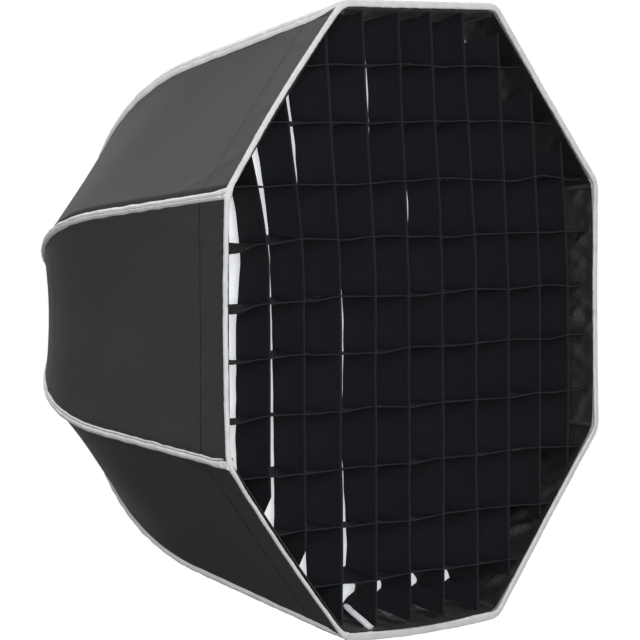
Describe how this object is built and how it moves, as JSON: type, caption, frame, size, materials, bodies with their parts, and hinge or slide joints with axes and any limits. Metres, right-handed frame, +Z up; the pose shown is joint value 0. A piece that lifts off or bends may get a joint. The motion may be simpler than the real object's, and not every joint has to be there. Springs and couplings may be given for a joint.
{
  "type": "folding octagonal softbox",
  "caption": "Eight-sided folding light softbox with sprung ribs, a black fabric shell, a white front diffuser, a fabric egg-crate grid and a three-lug speed ring.",
  "frame": {"origin": "centre of the three-lug mount, on the rear face of its flange", "axes": "+Y along the optical axis out of the rear, so the open front faces -Y; +Z up; flats of the octagon left, right, top and bottom"},
  "size_m": [0.5544, 0.3832, 0.5544],
  "materials": {
    "moulded_nylon": "matt moulded",
    "cover_plastic": "fine-textured matt",
    "rod_fibre": "drawn rod, satin",
    "strut_steel": "black paint, satin",
    "shell_fabric": "close-woven coated nylon, slight sheen",
    "binding_tape": "woven tape, matt",
    "mount_alloy": "bead-blasted satin",
    "screw_steel": "black oxide",
    "pin_steel": "ground",
    "spring_steel": "drawn wire",
    "button_plastic": "satin moulded",
    "diffuser_fabric": "thin white weave, matt",
    "grid_fabric": "matt black weave",
    "lining_fabric": "silver-coated weave, satin"
  },
  "bodies": {
    "hub": {"speed_ring": "moulded_nylon", "rib_hinge_pins": "pin_steel", "rear_cover_ring": "cover_plastic", "cover_screws": "screw_steel", "bayonet_collar": "mount_alloy", "mount_screws": "screw_steel", "guide_rods": "pin_steel", "guide_rod_nuts": "cover_plastic"},
    "runner": {"runner_ring": "moulded_nylon", "strut_pins": "pin_steel", "button_spring_right": "spring_steel", "button_spring_left": "spring_steel"},
    "button_right": {"release_button_right": "button_plastic"},
    "button_left": {"release_button_left": "button_plastic"},
    "rib_1": {"rib_root_1": "moulded_nylon", "rib_rod_1": "rod_fibre"},
    "strut_1": {"strut_1": "strut_steel"},
    "panel_1_a": {"shell_panel_1_a": "shell_fabric"},
    "panel_1_b": {"shell_panel_1_b": "shell_fabric"},
    "rib_2": {"rib_root_2": "moulded_nylon", "rib_rod_2": "rod_fibre"},
    "strut_2": {"strut_2": "strut_steel"},
    "panel_2_a": {"shell_panel_2_a": "shell_fabric"},
    "panel_2_b": {"shell_panel_2_b": "shell_fabric"},
    "rib_3": {"rib_root_3": "moulded_nylon", "rib_rod_3": "rod_fibre"},
    "strut_3": {"strut_3": "strut_steel"},
    "panel_3_a": {"shell_panel_3_a": "shell_fabric"},
    "panel_3_b": {"shell_panel_3_b": "shell_fabric"},
    "rib_4": {"rib_root_4": "moulded_nylon", "rib_rod_4": "rod_fibre"},
    "strut_4": {"strut_4": "strut_steel"},
    "panel_4_a": {"shell_panel_4_a": "shell_fabric"},
    "panel_4_b": {"shell_panel_4_b": "shell_fabric"},
    "rib_5": {"rib_root_5": "moulded_nylon", "rib_rod_5": "rod_fibre"},
    "strut_5": {"strut_5": "strut_steel"},
    "panel_5_a": {"shell_panel_5_a": "shell_fabric"},
    "panel_5_b": {"shell_panel_5_b": "shell_fabric"},
    "rib_6": {"rib_root_6": "moulded_nylon", "rib_rod_6": "rod_fibre"},
    "strut_6": {"strut_6": "strut_steel"},
    "panel_6_a": {"shell_panel_6_a": "shell_fabric"},
    "panel_6_b": {"shell_panel_6_b": "shell_fabric"},
    "rib_7": {"rib_root_7": "moulded_nylon", "rib_rod_7": "rod_fibre"},
    "strut_7": {"strut_7": "strut_steel"},
    "panel_7_a": {"shell_panel_7_a": "shell_fabric"},
    "panel_7_b": {"shell_panel_7_b": "shell_fabric"},
    "rib_8": {"rib_root_8": "moulded_nylon", "rib_rod_8": "rod_fibre"},
    "strut_8": {"strut_8": "strut_steel"},
    "panel_8_a": {"shell_panel_8_a": "shell_fabric"},
    "panel_8_b": {"shell_panel_8_b": "shell_fabric"},
    "diffuser": {"front_diffuser": "diffuser_fabric"},
    "grid": {"grid_band": "grid_fabric", "grid_vertical_strips": "grid_fabric", "grid_horizontal_strips": "grid_fabric"}
  },
  "joints": [
    {"name": "rib_1_hinge", "type": "hinge", "parent": "hub", "child": "rib_1", "pos_m": [0.06652, -0.013, 0.02755], "axis": [0.3827, 0, -0.9239], "range_deg": [0, 36], "deforming": ["shell_panel_1_a", "shell_panel_1_b", "shell_panel_2_a", "shell_panel_2_b", "shell_panel_3_a", "shell_panel_3_b", "shell_panel_4_a", "shell_panel_4_b", "shell_panel_5_a", "shell_panel_5_b", "shell_panel_6_a", "shell_panel_6_b", "shell_panel_7_a", "shell_panel_7_b", "shell_panel_8_a", "shell_panel_8_b", "front_diffuser", "grid_band", "grid_vertical_strips", "grid_horizontal_strips"]},
    {"name": "rib_2_hinge", "type": "hinge", "parent": "hub", "child": "rib_2", "pos_m": [0.02755, -0.013, 0.06652], "axis": [0.9239, 0, -0.3827], "range_deg": [0, 36]},
    {"name": "rib_3_hinge", "type": "hinge", "parent": "hub", "child": "rib_3", "pos_m": [-0.02755, -0.013, 0.06652], "axis": [0.9239, 0, 0.3827], "range_deg": [0, 36]},
    {"name": "rib_4_hinge", "type": "hinge", "parent": "hub", "child": "rib_4", "pos_m": [-0.06652, -0.013, 0.02755], "axis": [0.3827, 0, 0.9239], "range_deg": [0, 36]},
    {"name": "rib_5_hinge", "type": "hinge", "parent": "hub", "child": "rib_5", "pos_m": [-0.06652, -0.013, -0.02755], "axis": [-0.3827, 0, 0.9239], "range_deg": [0, 36]},
    {"name": "rib_6_hinge", "type": "hinge", "parent": "hub", "child": "rib_6", "pos_m": [-0.02755, -0.013, -0.06652], "axis": [-0.9239, 0, 0.3827], "range_deg": [0, 36]},
    {"name": "rib_7_hinge", "type": "hinge", "parent": "hub", "child": "rib_7", "pos_m": [0.02755, -0.013, -0.06652], "axis": [-0.9239, 0, -0.3827], "range_deg": [0, 36]},
    {"name": "rib_8_hinge", "type": "hinge", "parent": "hub", "child": "rib_8", "pos_m": [0.06652, -0.013, -0.02755], "axis": [-0.3827, 0, -0.9239], "range_deg": [0, 36]},
    {"name": "runner_slide", "type": "slide", "parent": "hub", "child": "runner", "axis": [0, -1, 0], "range_m": [0, 0.03026]},
    {"name": "strut_1_hinge", "type": "hinge", "parent": "runner", "child": "strut_1", "pos_m": [0.06467, -0.089, 0.02679], "axis": [-0.3827, 0, 0.9239], "range_deg": [0, 33.07]},
    {"name": "strut_2_hinge", "type": "hinge", "parent": "runner", "child": "strut_2", "pos_m": [0.02679, -0.089, 0.06467], "axis": [-0.9239, 0, 0.3827], "range_deg": [0, 33.07]},
    {"name": "strut_3_hinge", "type": "hinge", "parent": "runner", "child": "strut_3", "pos_m": [-0.02679, -0.089, 0.06467], "axis": [-0.9239, 0, -0.3827], "range_deg": [0, 33.07]},
    {"name": "strut_4_hinge", "type": "hinge", "parent": "runner", "child": "strut_4", "pos_m": [-0.06467, -0.089, 0.02679], "axis": [-0.3827, 0, -0.9239], "range_deg": [0, 33.07]},
    {"name": "strut_5_hinge", "type": "hinge", "parent": "runner", "child": "strut_5", "pos_m": [-0.06467, -0.089, -0.02679], "axis": [0.3827, 0, -0.9239], "range_deg": [0, 33.07]},
    {"name": "strut_6_hinge", "type": "hinge", "parent": "runner", "child": "strut_6", "pos_m": [-0.02679, -0.089, -0.06467], "axis": [0.9239, 0, -0.3827], "range_deg": [0, 33.07]},
    {"name": "strut_7_hinge", "type": "hinge", "parent": "runner", "child": "strut_7", "pos_m": [0.02679, -0.089, -0.06467], "axis": [0.9239, 0, 0.3827], "range_deg": [0, 33.07]},
    {"name": "strut_8_hinge", "type": "hinge", "parent": "runner", "child": "strut_8", "pos_m": [0.06467, -0.089, -0.02679], "axis": [0.3827, 0, 0.9239], "range_deg": [0, 33.07]},
    {"name": "panel_1_a_fold", "type": "hinge", "parent": "rib_1", "child": "panel_1_a", "pos_m": [0.06104, -0.013, 0.04079], "axis": [-0.0523, 0.1078, 0.9928], "range_deg": [0, 20.23]},
    {"name": "panel_1_b_fold", "type": "hinge", "parent": "rib_2", "child": "panel_1_b", "pos_m": [0.04079, -0.013, 0.06104], "axis": [-0.9928, -0.1078, 0.0523], "range_deg": [0, 20.23]},
    {"name": "panel_2_a_fold", "type": "hinge", "parent": "rib_2", "child": "panel_2_a", "pos_m": [0.01432, -0.013, 0.072], "axis": [-0.739, 0.1078, 0.665], "range_deg": [0, 20.23]},
    {"name": "panel_2_b_fold", "type": "hinge", "parent": "rib_3", "child": "panel_2_b", "pos_m": [-0.01432, -0.013, 0.072], "axis": [-0.739, -0.1078, -0.665], "range_deg": [0, 20.23]},
    {"name": "panel_3_a_fold", "type": "hinge", "parent": "rib_3", "child": "panel_3_a", "pos_m": [-0.04079, -0.013, 0.06104], "axis": [-0.9928, 0.1078, -0.0523], "range_deg": [0, 20.23]},
    {"name": "panel_3_b_fold", "type": "hinge", "parent": "rib_4", "child": "panel_3_b", "pos_m": [-0.06104, -0.013, 0.04079], "axis": [-0.0523, -0.1078, -0.9928], "range_deg": [0, 20.23]},
    {"name": "panel_4_a_fold", "type": "hinge", "parent": "rib_4", "child": "panel_4_a", "pos_m": [-0.072, -0.013, 0.01432], "axis": [-0.665, 0.1078, -0.739], "range_deg": [0, 20.23]},
    {"name": "panel_4_b_fold", "type": "hinge", "parent": "rib_5", "child": "panel_4_b", "pos_m": [-0.072, -0.013, -0.01432], "axis": [0.665, -0.1078, -0.739], "range_deg": [0, 20.23]},
    {"name": "panel_5_a_fold", "type": "hinge", "parent": "rib_5", "child": "panel_5_a", "pos_m": [-0.06104, -0.013, -0.04079], "axis": [0.0523, 0.1078, -0.9928], "range_deg": [0, 20.23]},
    {"name": "panel_5_b_fold", "type": "hinge", "parent": "rib_6", "child": "panel_5_b", "pos_m": [-0.04079, -0.013, -0.06104], "axis": [0.9928, -0.1078, -0.0523], "range_deg": [0, 20.23]},
    {"name": "panel_6_a_fold", "type": "hinge", "parent": "rib_6", "child": "panel_6_a", "pos_m": [-0.01432, -0.013, -0.072], "axis": [0.739, 0.1078, -0.665], "range_deg": [0, 20.23]},
    {"name": "panel_6_b_fold", "type": "hinge", "parent": "rib_7", "child": "panel_6_b", "pos_m": [0.01432, -0.013, -0.072], "axis": [0.739, -0.1078, 0.665], "range_deg": [0, 20.23]},
    {"name": "panel_7_a_fold", "type": "hinge", "parent": "rib_7", "child": "panel_7_a", "pos_m": [0.04079, -0.013, -0.06104], "axis": [0.9928, 0.1078, 0.0523], "range_deg": [0, 20.23]},
    {"name": "panel_7_b_fold", "type": "hinge", "parent": "rib_8", "child": "panel_7_b", "pos_m": [0.06104, -0.013, -0.04079], "axis": [0.0523, -0.1078, 0.9928], "range_deg": [0, 20.23]},
    {"name": "panel_8_a_fold", "type": "hinge", "parent": "rib_8", "child": "panel_8_a", "pos_m": [0.072, -0.013, -0.01432], "axis": [0.665, 0.1078, 0.739], "range_deg": [0, 20.23]},
    {"name": "panel_8_b_fold", "type": "hinge", "parent": "rib_1", "child": "panel_8_b", "pos_m": [0.072, -0.013, 0.01432], "axis": [-0.665, -0.1078, 0.739], "range_deg": [0, 20.23]},
    {"name": "cover_lead_slide", "type": "slide", "parent": "hub", "child": "diffuser", "axis": [0, -1, 0], "range_m": [0, 0.12601]},
    {"name": "grid_pull", "type": "slide", "parent": "diffuser", "child": "grid", "axis": [0, -1, 0], "range_m": [0, 0.15]},
    {"name": "button_right_press", "type": "slide", "parent": "runner", "child": "button_right", "axis": [-1, 0, 0], "range_m": [0, 0.0025], "stiffness_N_per_m": 800, "deforming": ["button_spring_right"]},
    {"name": "button_left_press", "type": "slide", "parent": "runner", "child": "button_left", "axis": [1, 0, 0], "range_m": [0, 0.0025], "stiffness_N_per_m": 800, "deforming": ["button_spring_left"]}
  ],
  "couplings": [
    {"joint": "rib_2_hinge", "follows": "rib_1_hinge", "ratio": 1},
    {"joint": "rib_3_hinge", "follows": "rib_1_hinge", "ratio": 1},
    {"joint": "rib_4_hinge", "follows": "rib_1_hinge", "ratio": 1},
    {"joint": "rib_5_hinge", "follows": "rib_1_hinge", "ratio": 1},
    {"joint": "rib_6_hinge", "follows": "rib_1_hinge", "ratio": 1},
    {"joint": "rib_7_hinge", "follows": "rib_1_hinge", "ratio": 1},
    {"joint": "rib_8_hinge", "follows": "rib_1_hinge", "ratio": 1},
    {"joint": "runner_slide", "follows": "rib_1_hinge", "m_per_rad": 0.048144},
    {"joint": "strut_1_hinge", "follows": "rib_1_hinge", "ratio": 0.91833},
    {"joint": "strut_2_hinge", "follows": "rib_1_hinge", "ratio": 0.91833},
    {"joint": "strut_3_hinge", "follows": "rib_1_hinge", "ratio": 0.91833},
    {"joint": "strut_4_hinge", "follows": "rib_1_hinge", "ratio": 0.91833},
    {"joint": "strut_5_hinge", "follows": "rib_1_hinge", "ratio": 0.91833},
    {"joint": "strut_6_hinge", "follows": "rib_1_hinge", "ratio": 0.91833},
    {"joint": "strut_7_hinge", "follows": "rib_1_hinge", "ratio": 0.91833},
    {"joint": "strut_8_hinge", "follows": "rib_1_hinge", "ratio": 0.91833},
    {"joint": "panel_1_a_fold", "follows": "rib_1_hinge", "ratio": 0.56163},
    {"joint": "panel_1_b_fold", "follows": "rib_1_hinge", "ratio": 0.56163},
    {"joint": "panel_2_a_fold", "follows": "rib_1_hinge", "ratio": 0.56163},
    {"joint": "panel_2_b_fold", "follows": "rib_1_hinge", "ratio": 0.56163},
    {"joint": "panel_3_a_fold", "follows": "rib_1_hinge", "ratio": 0.56163},
    {"joint": "panel_3_b_fold", "follows": "rib_1_hinge", "ratio": 0.56163},
    {"joint": "panel_4_a_fold", "follows": "rib_1_hinge", "ratio": 0.56163},
    {"joint": "panel_4_b_fold", "follows": "rib_1_hinge", "ratio": 0.56163},
    {"joint": "panel_5_a_fold", "follows": "rib_1_hinge", "ratio": 0.56163},
    {"joint": "panel_5_b_fold", "follows": "rib_1_hinge", "ratio": 0.56163},
    {"joint": "panel_6_a_fold", "follows": "rib_1_hinge", "ratio": 0.56163},
    {"joint": "panel_6_b_fold", "follows": "rib_1_hinge", "ratio": 0.56163},
    {"joint": "panel_7_a_fold", "follows": "rib_1_hinge", "ratio": 0.56163},
    {"joint": "panel_7_b_fold", "follows": "rib_1_hinge", "ratio": 0.56163},
    {"joint": "panel_8_a_fold", "follows": "rib_1_hinge", "ratio": 0.56163},
    {"joint": "panel_8_b_fold", "follows": "rib_1_hinge", "ratio": 0.56163},
    {"joint": "cover_lead_slide", "follows": "rib_1_hinge", "m_per_rad": 0.20054}
  ]
}
